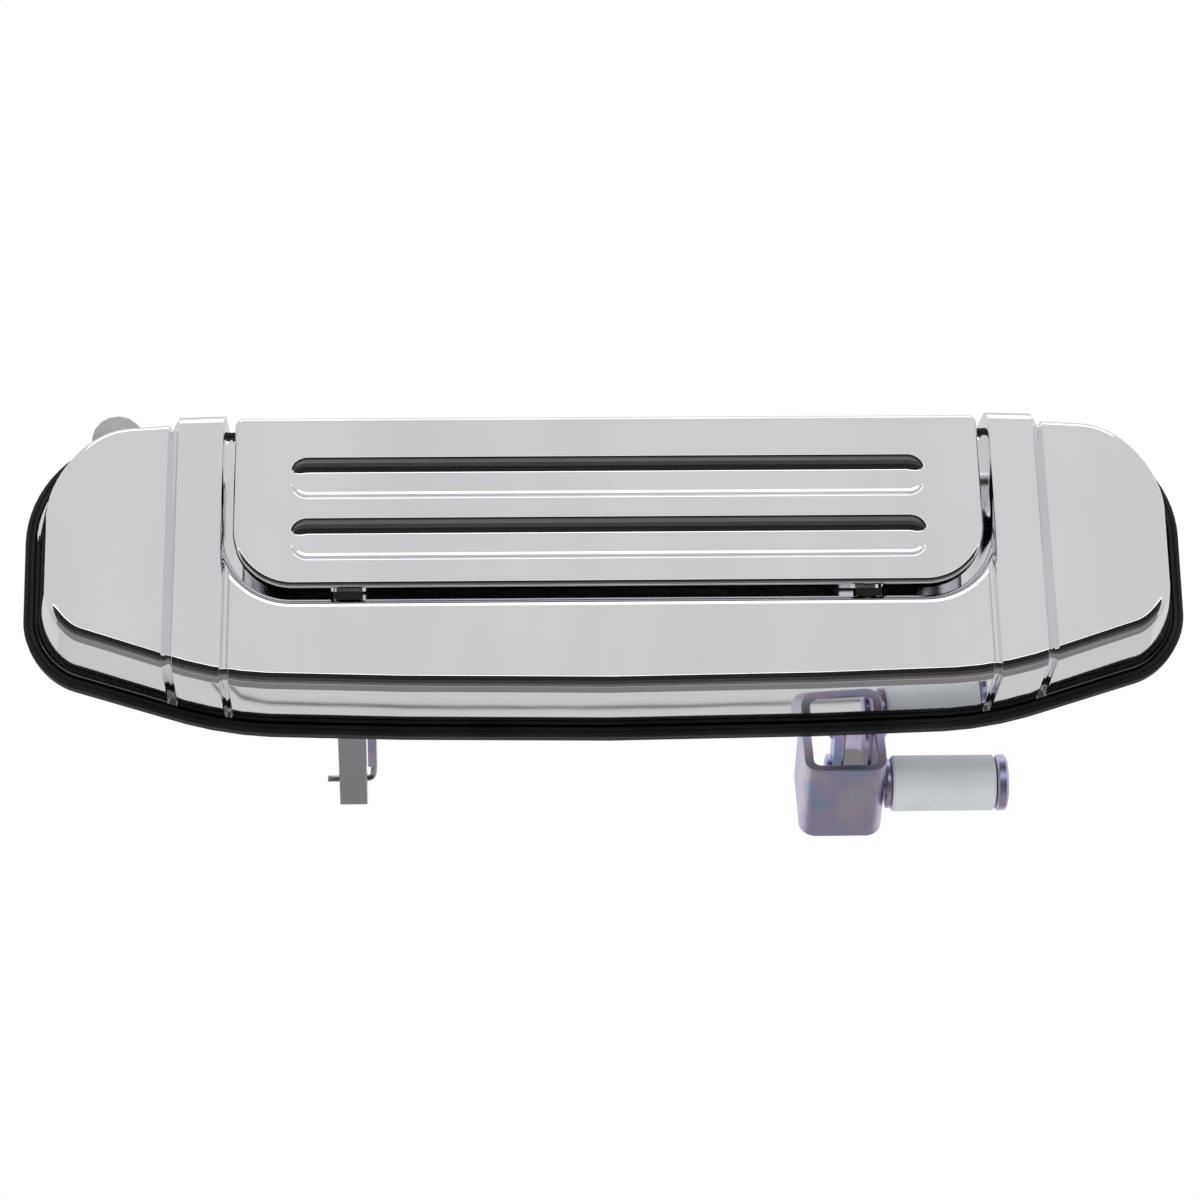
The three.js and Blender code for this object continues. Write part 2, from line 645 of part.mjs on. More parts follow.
// plate across the tail, from one distance along it to another, tilted with the tail
function tiltedPlate(outside, inside, from, to) {
  const make = (shape, a, b) => {
    const geometry = new THREE.ExtrudeGeometry(shape, {
      depth: b - a,
      bevelEnabled: false,
      curveSegments: 4,
    });
    geometry.rotateX(Math.PI / 2);
    geometry.translate(0, b, 0);
    geometry.rotateX(-tailSlope);
    geometry.translate(0, knee.y, knee.z);
    return toSolid(geometry);
  };
  return cut(make(outside, from, to), make(inside, from - 1, to + 1));
}
addPiece('lever_strap', makeStrap(), zinc);

['front', 'rear'].forEach((name, i) => {
  const { y, z } = rivetPlaces[i];
  const inner = plateStarts[1] - clearance;
  const outer = strapRight + clearance;
  const bar = barX(rivetRadius, inner - sunk, outer + sunk, y, z, 20);
  const inHead = barX(rivetHead, inner - rivetHeadHeight, inner, y, z, 20);
  const outHead = barX(rivetHead, outer, outer + rivetHeadHeight, y, z, 20);
  addPiece(`lever_rivet_${name}`, join(bar, inHead, outHead), zinc);
});

const washerStart = strapRight + clearance;
const rollerStart = washerStart + washerThickness + clearance;
const rollerEnd = rollerStart + rollerLength;
const pinTail = strapRight - strap.sheet - pinTailLength;
const { y: rollerY, z: rollerZ } = rollerPlace;
const washerEnd = washerStart + washerThickness;
addPiece('roller_washer', cut(barX(washerRadius, washerStart, washerEnd, rollerY, rollerZ),
  barX(rollerPinRadius + clearance, washerStart - past, washerEnd + past, rollerY, rollerZ)), zinc);
addPiece('roller', cut(barX(rollerRadius, rollerStart, rollerEnd, rollerY, rollerZ, 40),
  barX(rollerPinRadius + runningGap, rollerStart - 1, rollerEnd + 1, rollerY, rollerZ)), nylon);
const headStart = rollerEnd + clearance;
addPiece('roller_pin', join(barX(rollerPinRadius, pinTail, headStart + sunk, rollerY, rollerZ),
  barX(rollerRadius, headStart, headStart + headThickness, rollerY, rollerZ, 40)), zinc);

// ---- fixings ------------------------------------------------------------------------------
sideNames.forEach((name, i) => {
  const { x, z } = { x: sides[i] * stud.x, z: stud.z };
  const tip = barY(stud.tipRadius, stud.reach, stud.reach + stud.tip, x, z);
  addPiece(`stud_${name}`, join(barY(stud.radius, -stud.seat, stud.reach, x, z), tip), zinc);

  const bx = sides[i] * bumper.x;
  const seat = postFront - clearance;
  addPiece(`flap_bumper_${name}`, join(
    barY(bumper.radius, seat - bumper.length, seat, bx, bumper.z),
    barY(bumper.stem, seat - sunk, postFront + bumper.stemLength, bx, bumper.z, 20)), rubber);
});

function makeEar() {
  const back = earFront + ear.thickness;
  const along = new THREE.Vector2(ear.x - ear.rootX, ear.z - ear.rootZ);
  const direction = along.angle();
  const shape = new THREE.Shape();
  shape.absarc(ear.x, ear.z, ear.radius, direction - Math.PI / 2, direction + Math.PI / 2, false);
  shape.absarc(ear.rootX, ear.rootZ, ear.radius, direction + Math.PI / 2, direction + 1.5 * Math.PI, false);
  const arm = plateXZ(shape, earFront, back);
  const foot = barY(ear.footRadius, clearance, earFront + sunk, ear.rootX, ear.rootZ);
  const hole = barY(screwRadius + clearance, -1, back + 1, ear.rootX, ear.rootZ, 20);
  return cut(join(arm, foot), hole);
}
addPiece('mounting_ear', makeEar(), rawCasting);
const earHeadFront = earFront + ear.thickness + clearance;
addPiece('ear_screw', join(
  barY(screwRadius, -earScrewDepth, earHeadFront + sunk, ear.rootX, ear.rootZ, 20),
  barY(screwHead.radius, earHeadFront, earHeadFront + screwHead.height, ear.rootX, ear.rootZ)), zinc);

export default group;
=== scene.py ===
# Flap-type outside door handle, right-hand side.
# Sizes in the dictionaries are in millimetres; +X along the handle, +Y into the door, +Z up.
import math
import bpy
import bmesh
from mathutils import Matrix, Vector


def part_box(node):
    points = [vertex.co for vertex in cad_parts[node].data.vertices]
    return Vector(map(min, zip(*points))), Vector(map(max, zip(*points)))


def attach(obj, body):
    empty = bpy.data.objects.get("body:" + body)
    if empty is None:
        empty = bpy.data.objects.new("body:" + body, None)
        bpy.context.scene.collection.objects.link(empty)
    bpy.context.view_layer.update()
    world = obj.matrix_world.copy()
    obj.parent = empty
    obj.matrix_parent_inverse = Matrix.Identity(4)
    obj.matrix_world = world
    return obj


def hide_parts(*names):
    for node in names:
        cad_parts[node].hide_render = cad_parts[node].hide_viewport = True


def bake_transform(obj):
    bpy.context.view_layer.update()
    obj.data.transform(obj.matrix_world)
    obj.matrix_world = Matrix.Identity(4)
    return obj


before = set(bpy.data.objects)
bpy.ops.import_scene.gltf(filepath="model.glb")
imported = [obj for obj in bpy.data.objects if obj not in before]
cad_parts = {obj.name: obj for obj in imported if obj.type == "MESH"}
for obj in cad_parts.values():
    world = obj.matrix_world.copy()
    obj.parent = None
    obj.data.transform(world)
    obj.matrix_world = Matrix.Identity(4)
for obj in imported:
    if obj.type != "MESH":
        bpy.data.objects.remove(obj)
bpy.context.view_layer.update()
mm = 0.001
past = 1  # of a cutter beyond what it cuts
sunk = 0.5  # of a part into another that it is joined to
hair = 0.001  # by which a flared cutter stands in front of the face
sides = {"left": -1, "right": 1}
print("frame loaded:", len(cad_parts), "nodes")


# camera
view = {"turn": 2.39, "rise": -18.0, "roll": -1.15, "away": 700.0, "across": -1.18, "up": -3.28, "lens": 113.0}


def placeCamera():
    turn, rise, roll = (math.radians(view[key]) for key in ("turn", "rise", "roll"))
    look = Vector((math.sin(turn) * math.cos(rise), math.cos(turn) * math.cos(rise), -math.sin(rise)))
    level = Vector((math.cos(turn), -math.sin(turn), 0))
    upright = level.cross(look)
    place = (look * -view["away"] + level * view["across"] + upright * view["up"]) * mm
    right = level * math.cos(roll) + upright * math.sin(roll)
    up = upright * math.cos(roll) - level * math.sin(roll)
    turned = Matrix((right, up, -look)).transposed().to_4x4()
    data = bpy.data.cameras.new("camera")
    data.lens = view["lens"]
    data.sensor_width = 36
    data.clip_start = 0.01
    camera = bpy.data.objects.new("camera", data)
    camera.matrix_world = Matrix.Translation(place) @ turned
    bpy.context.scene.collection.objects.link(camera)
    bpy.context.scene.camera = camera


placeCamera()
print("camera placed")


# shader maths
class Wire:
    # one output socket that can be added and multiplied
    def __init__(self, shop, socket):
        self.shop = shop
        self.socket = socket

    def sum(self, operation, *others):
        values = [getattr(other, "socket", other) for other in others]
        return self.shop.node("ShaderNodeMath", {"operation": operation}, *values)

    def __add__(self, other):
        return self.sum("ADD", self, other)

    def __mul__(self, other):
        return self.sum("MULTIPLY", self, other)

    def __radd__(self, other):
        return self.sum("ADD", other, self)

    def __rmul__(self, other):
        return self.sum("MULTIPLY", other, self)


class Finish:
    # a material and its nodes
    def __init__(self, name, **constants):
        self.material = bpy.data.materials.new(name)
        self.material.use_nodes = True
        self.tree = self.material.node_tree
        self.shader = self.tree.nodes["Principled BSDF"]
        for socket, value in constants.items():
            self.shader.inputs[socket.replace("_", " ")].default_value = value
        self.place = self.node("ShaderNodeTexCoord", {}, out="Object")

    def node(self, kind, settings, *values, out=0, **named):
        made = self.tree.nodes.new(kind)
        for key, value in settings.items():
            if key == "stops":
                ramp = made.color_ramp
                while len(ramp.elements) < len(value):
                    ramp.elements.new(0.5)
                for element, (position, colour) in zip(ramp.elements, value):
                    element.position = position
                    element.color = colour
            else:
                setattr(made, key, value)
        pairs = list(enumerate(values)) + [(key.replace("_", " "), value) for key, value in named.items()]
        for key, value in pairs:
            value = getattr(value, "socket", value)
            if isinstance(value, bpy.types.NodeSocket):
                self.tree.links.new(value, made.inputs[key])
            else:
                made.inputs[key].default_value = value
        return Wire(self, made.outputs[out])

    def noise(self, scale, detail=2.0, stretch=(1, 1, 1), rough=0.5):
        spot = self.node("ShaderNodeMapping", {}, self.place, Scale=stretch)
        return self.node("ShaderNodeTexNoise", {}, Vector=spot, Scale=scale, Detail=detail, Roughness=rough)

    def ramp(self, value, *stops):
        full = [(position, (*colour, 1)) for position, colour in stops]
        return self.node("ShaderNodeValToRGB", {"stops": full}, value)

    def feed(self, socket, wire):
        self.tree.links.new(wire.socket, self.shader.inputs[socket])

    def bump(self, height, distance, strength=1.0):
        self.feed("Normal", self.node("ShaderNodeBump", {}, Height=height, Distance=distance, Strength=strength))


def makeChrome():
    chrome = Finish("chrome_plate", Metallic=1.0)
    film = chrome.noise(38, 3, (1, 1, 0.35))
    haze = chrome.noise(260, 4)
    chrome.feed("Base Color", chrome.ramp(film, (0.3, (0.80, 0.79, 0.82)), (0.7, (0.86, 0.855, 0.875))))
    chrome.feed("Roughness", 0.035 + film * 0.03 + haze * 0.015)
    chrome.bump(chrome.noise(75, 1, (1, 1, 0.5)) + chrome.noise(900, 2) * 0.01, 0.00003, 0.5)
    return chrome.material


def makeRubber():
    rubber = Finish("rubber", Specular_IOR_Level=0.35)
    grain = rubber.noise(2600, 3)
    dust = rubber.noise(60, 4)
    rubber.feed("Base Color", rubber.ramp(dust, (0.35, (0.009, 0.009, 0.010)), (0.75, (0.022, 0.022, 0.024))))
    rubber.feed("Roughness", 0.5 + grain * 0.2)
    rubber.bump(grain, 0.00005, 0.5)
    return rubber.material


def makeZincPlate():
    zinc = Finish("zinc_plate", Metallic=0.9)
    cloud = zinc.noise(95, 3, (1, 1, 1), 0.6)
    streak = zinc.noise(320, 3, (1, 0.25, 0.25))
    tint = cloud * 0.8 + streak * 0.25
    zinc.feed("Base Color", zinc.ramp(tint, (0.36, (0.50, 0.66, 0.86)), (0.46, (0.60, 0.64, 0.90)),
              (0.54, (0.74, 0.63, 0.86)), (0.62, (0.82, 0.72, 0.84)), (0.72, (0.58, 0.74, 0.86))))
    zinc.feed("Roughness", 0.24 + streak * 0.16)
    zinc.bump(streak + zinc.noise(1500, 3) * 0.4, 0.00004, 0.6)
    return zinc.material


def makeSteel():
    steel = Finish("bright_steel", Metallic=1.0)
    drawn = steel.noise(700, 3, (0.15, 1, 1))
    steel.feed("Base Color", steel.ramp(drawn, (0.3, (0.36, 0.36, 0.38)), (0.7, (0.50, 0.50, 0.53))))
    steel.feed("Roughness", 0.22 + drawn * 0.2)
    steel.bump(drawn, 0.00003, 0.5)
    return steel.material


def makeNylon():
    nylon = Finish("white_nylon", Subsurface_Weight=0.12, Subsurface_Radius=(0.003, 0.003, 0.003))
    clouds = nylon.noise(160, 2)
    turned = nylon.noise(1400, 2, (1, 0.12, 0.12))
    nylon.feed("Base Color", nylon.ramp(clouds, (0.3, (0.80, 0.85, 0.87)), (0.7, (0.87, 0.91, 0.93))))
    nylon.feed("Roughness", 0.32 + turned * 0.14)
    nylon.bump(turned, 0.00003, 0.5)
    return nylon.material


def makeRawCasting():
    raw = Finish("raw_casting", Metallic=0.75)
    grain = raw.noise(1300, 4, (1, 1, 1), 0.65)
    raw.feed("Base Color", raw.ramp(raw.noise(140, 3), (0.3, (0.50, 0.50, 0.51)), (0.7, (0.62, 0.62, 0.63))))
    raw.feed("Roughness", 0.45 + grain * 0.2)
    raw.bump(grain, 0.00012, 0.8)
    return raw.material


finishes = {"chrome": makeChrome(), "rubber": makeRubber(), "zinc_plate": makeZincPlate(), "steel": makeSteel(),
            "nylon": makeNylon(), "raw_casting": makeRawCasting()}
print("finishes made")


# modelling tools
sharpFrom = 32  # degrees between two faces, from which their edge stays sharp


def finishPiece(bm, name, body, slot, replaced):
    # puts a mesh in the scene, rides it on its body and gives it its finish
    bmesh.ops.recalc_face_normals(bm, faces=bm.faces)
    for face in bm.faces:
        face.smooth = True
    for edge in bm.edges:
        edge.smooth = len(edge.link_faces) == 2 and edge.calc_face_angle(0) < math.radians(sharpFrom)
    mesh = bpy.data.meshes.new(name)
    bm.to_mesh(mesh)
    bm.free()
    piece = bpy.data.objects.new(name, mesh)
    bpy.context.scene.collection.objects.link(piece)
    mesh.materials.append(finishes[slot])
    normals = piece.modifiers.new("even_normals", "WEIGHTED_NORMAL")
    normals.keep_sharp = True
    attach(piece, body)
    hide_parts(*replaced)


def combine(bm, tool, operation):
    # one boolean between two closed meshes; both are used up
    meshes = []
    for part in (bm, tool):
        bmesh.ops.recalc_face_normals(part, faces=part.faces)
        mesh = bpy.data.meshes.new("part")
        part.to_mesh(mesh)
        part.free()
        meshes.append(bpy.data.objects.new("part", mesh))
        bpy.context.scene.collection.objects.link(meshes[-1])
    boolean = meshes[0].modifiers.new("boolean", "BOOLEAN")
    boolean.operation = operation
    boolean.solver = "MANIFOLD"
    boolean.object = meshes[1]
    ready = meshes[0].evaluated_get(bpy.context.evaluated_depsgraph_get())
    result = bmesh.new()
    result.from_mesh(ready.to_mesh())
    for made in meshes:
        bpy.data.objects.remove(made)
    return result


def cutOut(bm, *tools):
    for tool in tools:
        bm = combine(bm, tool, "DIFFERENCE")
    return bm


def fuse(bm, *tools):
    for tool in tools:
        bm = combine(bm, tool, "UNION")
    return bm


def outlineFace(corners, y, towardDoor=False):
    # flat face at depth y from corners (x, z, radius), each rounded by bevelling its vertex
    bm = bmesh.new()
    vertices = [bm.verts.new((x * mm, y * mm, z * mm)) for x, z, radius in corners]
    face = bm.faces.new(vertices)
    face.normal_update()
    if (face.normal.y > 0) != towardDoor:
        face.normal_flip()
    for i, (vertex, (x, z, radius)) in enumerate(zip(vertices, corners)):
        if not radius:
            continue
        here = Vector((x, z))
        before = (Vector(corners[i - 1][:2]) - here).normalized()
        after = (Vector(corners[(i + 1) % len(corners)][:2]) - here).normalized()
        half = before.angle(after) / 2
        bend = math.pi - 2 * half
        segments = max(2, round(bend / math.radians(5.5)))
        bmesh.ops.bevel(bm, geom=[vertex], offset=radius / math.tan(half) * mm, segments=segments,
                        profile=0.5, affect="VERTICES", material=-1, clamp_overlap=False)
    bm.faces.ensure_lookup_table()
    return bm


def insetRings(bm, steps):
    face = bm.faces[0]
    for inwards, along in steps:
        bmesh.ops.inset_region(bm, faces=[face], thickness=inwards * mm, depth=along * mm,
                               use_even_offset=True, use_boundary=True)


def ringedBlock(corners, y, steps, towardDoor=False):
    # closed block: the outline at y, then one inset ring for each step (inwards, along)
    bm = outlineFace(corners, y, towardDoor)
    insetRings(bm, steps)
    bmesh.ops.holes_fill(bm, edges=[edge for edge in bm.edges if edge.is_boundary])
    bmesh.ops.recalc_face_normals(bm, faces=bm.faces)
    return bm


def roundSteps(radius, rings, hollow=False):
    # steps of a quarter round: from the wall over to the flat face, or the flare of a cutter
    places = [i / rings * math.pi / 2 for i in range(rings + 1)]
    if hollow:
        points = [(radius * math.sin(a), radius * (1 - math.cos(a))) for a in places]
    else:
        points = [(radius * (1 - math.cos(a)), radius * math.sin(a)) for a in places]
    return [(b[0] - a[0], b[1] - a[1]) for a, b in zip(points, points[1:])]


def block(low, high):
    bm = bmesh.new()
    bmesh.ops.create_cube(bm, size=1)
    size = [b - a for a, b in zip(low, high)]
    middle = [(a + b) / 2 for a, b in zip(low, high)]
    bmesh.ops.scale(bm, verts=bm.verts, vec=Vector(size) * mm)
    bmesh.ops.translate(bm, verts=bm.verts, vec=Vector(middle) * mm)
    return bm


def turned(profile, axis, place, turns=48):
    # lathe work: profile of (along, radius) about an axis through place
    bm = bmesh.new()
    points = [bm.verts.new((radius * mm, 0, along * mm)) for along, radius in profile]
    edges = [bm.edges.new(pair) for pair in zip(points, points[1:])]
    bmesh.ops.spin(bm, geom=points + edges, cent=(0, 0, 0), axis=(0, 0, 1), angle=2 * math.pi,
                   steps=turns, use_merge=True)
    bmesh.ops.remove_doubles(bm, verts=bm.verts, dist=1e-7)
    ways = {"x": Matrix.Rotation(math.pi / 2, 3, "Y"), "y": Matrix.Rotation(-math.pi / 2, 3, "X"),
            "z": Matrix.Identity(3)}
    bmesh.ops.rotate(bm, verts=bm.verts, cent=(0, 0, 0), matrix=ways[axis])
    bmesh.ops.translate(bm, verts=bm.verts, vec=Vector(place) * mm)
    bmesh.ops.recalc_face_normals(bm, faces=bm.faces)
    return bm


def rod(radius, start, end, edge=0.0):
    # profile of a plain rod with small chamfers
    return [(start, 0), (start, radius - edge), (start + edge, radius), (end - edge, radius),
            (end, radius - edge), (end, 0)]


def tube(outer, inner, start, end, edge=0.0):
    return [(start + edge, inner), (start, inner + edge), (start, outer - edge), (start + edge, outer),
            (end - edge, outer), (end, outer - edge), (end, inner + edge), (end - edge, inner),
            (start + edge, inner)]


def fromNode(node, bevel):
    # merged copy of a CAD node's mesh with its sharp edges rounded
    bm = bmesh.new()
    bm.from_mesh(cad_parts[node].data)
    bmesh.ops.remove_doubles(bm, verts=bm.verts, dist=2e-6)
    bmesh.ops.dissolve_limit(bm, angle_limit=math.radians(1), verts=bm.verts, edges=bm.edges)
    sharp = [edge for edge in bm.edges if len(edge.link_faces) == 2
             and edge.calc_face_angle(0) > math.radians(35)]
    bmesh.ops.bevel(bm, geom=sharp, offset=bevel * mm, segments=2, profile=0.5, affect="EDGES",
                    material=-1, clamp_overlap=True)
    return bm


# outlines shared by the housing, the gasket and the flap
outline = {"half": 107.5, "low": -30.8, "lowShoulder": (70, -28.6, 60), "lowCorner": (-17, 13.5),
           "topCorner": (28, 21), "topShoulder": (80, 29.6, 60), "top": 32, "crown": 1200}
lean = math.tan(math.radians(0.9))


def outlineCorners(distance):
    shape = outline
    right = [shape["lowShoulder"], (shape["half"], *shape["lowCorner"]), (shape["half"], *shape["topCorner"]),
             shape["topShoulder"]]
    left = [(-x, z, radius) for x, z, radius in reversed(right)]
    whole = [(0, shape["low"], shape["crown"]), *right, (0, shape["top"], shape["crown"]), *left]
    return movedIn(whole, distance)


def movedIn(corners, distance):
    # the same corners with every edge moved inwards
    lines = []
    for i, (x, z, radius) in enumerate(corners):
        nextX, nextZ = corners[(i + 1) % len(corners)][:2]
        along = Vector((nextX - x, nextZ - z)).normalized()
        lines.append((Vector((x - along.y * distance, z + along.x * distance)), along))
    moved = []
    for i, (x, z, radius) in enumerate(corners):
        (first, a), (second, b) = lines[i - 1], lines[i]
        gap = second - first
        spot = first + a * ((gap.x * b.y - gap.y * b.x) / (a.x * b.y - a.y * b.x))
        moved.append((spot.x, spot.y, max(radius - distance, 1) if radius else 0))
    return moved


def leaning(x, z, side):
    return side * (x - z * lean)


def openingCorners(grow):
    low = casting["openingBottom"] - grow
    half = casting["bandInner"] + grow
    high = casting["above"]
    return [(leaning(half, low, -1), low, casting["openingRadius"] + grow),
            (leaning(half, low, 1), low, casting["openingRadius"] + grow),
            (leaning(half, high, 1), high, 0), (leaning(half, high, -1), high, 0)]


# chromed housing
casting = {"depth": 20, "wall": 2.2, "footInset": 2.0, "draft": (1.0, 0.6),
           "endLean": (84, 20, 2.2), "faceRound": 2.8, "podDrop": (0.3, 1.1, 6, 22), "bandInner": 70,
           "openingBottom": -8.6, "openingRadius": 12.6, "above": 43, "rimRound": 3.4, "rimSide": 0.12,
           "longGroove": (79.4, 2.2), "shortGroove": (69.1, 1.8), "grooveDepth": 0.9, "grooveEdge": 0.7,
           "footWhole": (1.2, 0.6), "pocketFloor": -2.2, "slotLip": 1.4, "slotGap": 0.5, "relief": 0.6,
           "datumRadius": 7, "reliefSide": 64.2, "reliefTop": 23.5, "lugWidth": 3.5, "lugFoot": -44,
           "bossRadius": 6, "bossRecess": 0.6, "screwBoss": (3.2, -11.2, -8), "innerRound": 1,
           "pinBore": (-57.5, 57), "slotBack": -4, "slotAbove": 4}
hinge = {"y": -11.2, "z": -16.2, "pin": 2.4, "gap": 0.08, "knuckle": 4}
hingePlace = (0, hinge["y"], hinge["z"])
arms = {"left": (-50, 5.2), "right": (44.6, 4.8)}
holeGap = {"side": 0.15, "bottom": 0.3}
stud = {"x": 88, "z": 8, "radius": 3, "seat": 7, "reach": 17.5, "pitch": 1.0, "plain": (0.2, 1.5)}
bumper = {"x": 63.5, "z": 17, "radius": 2.8, "back": -12.7, "land": 0.6, "hole": (1.5, -0.7, 3.6),
          "length": 3.2, "stem": 1.2}
earScrew = {"x": -82, "z": 19, "depth": 9, "radius": 1.6, "post": 4, "head": 1.6, "pitch": 0.6}
bracketScrew = {"x": 20, "y": -3.85, "radius": 1.6, "hole": (1.9, -16, -9.5)}


def drawInEnds(bm):
    # the rounded ends lean in further than the long walls
    start, run, by = casting["endLean"]
    for vertex in bm.verts:
        beyond = max(abs(vertex.co.x) / mm - start, 0) / run
        vertex.co.x += math.copysign(by * beyond, vertex.co.x) * vertex.co.y / casting["depth"]


def makeShell():
    depth, radius = casting["depth"], casting["faceRound"]
    straight, curved = casting["draft"]
    tilt = math.atan2(straight + 2 * curved, depth)
    wallAlong = depth - radius * (1 - math.sin(tilt))
    levels = [0, 0.6, casting["footWhole"][0], 1.5, sum(casting["footWhole"]), 2.4, 3, 5, 8, 12, wallAlong]
    inset = [straight * level / depth + curved * (level / depth) ** 2 for level in levels]
    steps = [(b - a, d - c) for a, b, c, d in zip(inset, inset[1:], levels, levels[1:])]
    turns = [tilt + (math.pi / 2 - tilt) * i / 10 for i in range(11)]
    steps += [(radius * (math.cos(a) - math.cos(b)), radius * (math.sin(b) - math.sin(a)))
              for a, b in zip(turns, turns[1:])]
    bm = outlineFace(outlineCorners(casting["footInset"]), 0)
    insetRings(bm, steps)
    drawInEnds(bm)
    # the grooves: cuts across the shell, then the points between them sink along their own normals
    edge = casting["grooveEdge"]
    for middle, width in (casting["longGroove"], casting["shortGroove"]):
        for side in sides.values():
            for across in [width / 2 - edge * i / 6 for i in range(7)]:
                for way in (-1, 1):
                    bmesh.ops.bisect_plane(bm, geom=bm.verts[:] + bm.edges[:] + bm.faces[:], dist=1e-8,
                                           plane_co=Vector((side * (middle + way * across), 0, 0)) * mm,
                                           plane_no=(1, 0, side * lean))
    bm.normal_update()
    moves = []
    for vertex in bm.verts:
        x, y, z = vertex.co / mm
        across = abs(x) + z * lean
        for middle, width in (casting["longGroove"], casting["shortGroove"]):
            inside = min(max((width / 2 - abs(across - middle)) / edge, 0), 1)
            clear = min(max((-y - casting["footWhole"][0]) / casting["footWhole"][1], 0), 1)
            sink = casting["grooveDepth"] * inside * inside * (3 - 2 * inside) * clear
            if sink > 1e-6:
                moves.append((vertex, vertex.normal * -sink * mm))
        # the pods lie a little lower than the bands, most of all along the top
        middle, width = casting["longGroove"]
        whole, extra, fromZ, toZ = casting["podDrop"]
        high = min(max((z - fromZ) / (toZ - fromZ), 0), 1)
        down = min(max((across - middle) / edge + 0.5, 0), 1) * clear
        if down > 0:
            drop = (whole + extra * high * high * (3 - 2 * high)) * down
            moves.append((vertex, vertex.normal * -drop * mm))
    for vertex, move in moves:
        vertex.co += move
    bmesh.ops.holes_fill(bm, edges=[edge for edge in bm.edges if edge.is_boundary])
    return bm


def makePocket():
    # cutter for the opening, flared where the rim is rounded; its sides flare less than its foot
    radius, front = casting["rimRound"], -casting["depth"]
    flare = roundSteps(radius, 10, hollow=True)
    bm = ringedBlock(openingCorners(radius), front - hair, flare + [(0, casting["pocketFloor"] - front - radius)],
                     towardDoor=True)
    for vertex in bm.verts:
        x, z = vertex.co.x / mm, vertex.co.z / mm
        side = math.copysign(1, x)
        over = side * x + z * lean - casting["bandInner"]
        if over > 0:
            vertex.co.x -= side * over * (1 - casting["rimSide"]) * mm
    return bm


def makeBezel():
    wall, depth = casting["wall"], casting["depth"]
    bm = cutOut(makeShell(), makePocket())
    inset = sum(casting["draft"]) * (depth - wall) / depth
    inner = ringedBlock(outlineCorners(casting["footInset"] + wall), past,
                        [(inset, depth - wall), (casting["innerRound"], casting["innerRound"])])
    drawInEnds(inner)
    hollowTools = [ringedBlock(openingCorners(wall), 2, [(0, depth + 4)])]
    gap, bottom = casting["slotGap"], casting["openingBottom"]
    for name, (start, width) in arms.items():
        lug = start - gap - casting["lugWidth"] if name == "left" else start + width + gap
        hollowTools.append(block((lug, -depth, casting["lugFoot"]),
                                 (lug + casting["lugWidth"], hinge["y"] + hinge["knuckle"], bottom - wall + past)))
    for side in sides.values():
        hollowTools.append(turned(rod(casting["bossRadius"], wall - depth, -casting["bossRecess"]), "y",
                                  (side * stud["x"], 0, stud["z"])))
        hollowTools.append(turned(rod(*casting["screwBoss"]), "z",
                                  (side * bracketScrew["x"], bracketScrew["y"], 0)))
    hollowTools.append(turned(rod(earScrew["post"], wall - depth, 0), "y",
                              (earScrew["x"], 0, earScrew["z"])))
    bm = cutOut(bm, cutOut(inner, *hollowTools))
    posts = [turned(rod(bumper["radius"] + bumper["land"], bumper["back"] + holeGap["bottom"], sunk - wall), "y",
                    (side * bumper["x"], 0, bumper["z"])) for side in sides.values()]
    bm = fuse(bm, *posts)
    cutters = [turned(rod(hinge["pin"] + hinge["gap"], *casting["pinBore"]), "x", hingePlace)]
    for start, width in arms.values():
        cutters.append(block((start - gap, casting["slotLip"] - depth, bottom - wall - past),
                             (start + width + gap, casting["slotBack"], bottom + casting["slotAbove"])))
    for side in sides.values():
        cutters.append(turned(rod(stud["radius"] + holeGap["side"], -stud["seat"] - holeGap["bottom"], past), "y",
                              (side * stud["x"], 0, stud["z"])))
        cutters.append(turned(rod(*bracketScrew["hole"]), "z", (side * bracketScrew["x"], bracketScrew["y"], 0)))
        radius, near, far = bumper["hole"]
        cutters.append(turned(rod(radius, bumper["back"] + near, bumper["back"] + far), "y",
                              (side * bumper["x"], 0, bumper["z"])))
    cutters.append(turned(rod(earScrew["radius"] + holeGap["side"], -earScrew["depth"] - holeGap["bottom"], past),
                          "y", (earScrew["x"], 0, earScrew["z"])))
    relief = block((-casting["reliefSide"], -casting["relief"], bottom),
                   (casting["reliefSide"], past, casting["reliefTop"]))
    cutters.append(cutOut(relief, turned(rod(casting["datumRadius"], -wall, 2), "y", (0, 0, 0))))
    finishPiece(cutOut(bm, *cutters), "housing", "bezel", "chrome", ["bezel"])


makeBezel()
print("housing made")


# gasket
gasket = {"back": 1.8, "front": -0.8, "hole": 4.2, "round": 0.45, "rim": 0.8, "ridge": 0.25, "ridgeEdge": 0.12,
          "ridgeFloor": 0.15, "lip": 4, "foot": 1.75, "seat": 0.3}


def makeGasket():
    # the outer rim, a fine groove beside it, then the inner lip that meets the housing
    turn = roundSteps(gasket["round"], 5)
    wallAlong = gasket["back"] - gasket["front"] - gasket["round"]
    steps = [(0, wallAlong), *turn, (gasket["rim"] - gasket["round"], 0), (gasket["ridgeEdge"], -gasket["ridge"]),
             (gasket["ridgeFloor"], 0), (gasket["ridgeEdge"], gasket["ridge"] * 0.8), (gasket["lip"], 0)]
    bm = ringedBlock(outlineCorners(0), gasket["back"], steps)
    front, seatAt = gasket["front"] - past, gasket["seat"]
    seat = ringedBlock(outlineCorners(gasket["foot"]), front, [(0, seatAt - front)], towardDoor=True)
    through = ringedBlock(outlineCorners(gasket["hole"]), front, [(0, 2 * gasket["back"] - front)],
                          towardDoor=True)
    finishPiece(cutOut(bm, seat, through), "seal", "bezel", "rubber", ["gasket"])


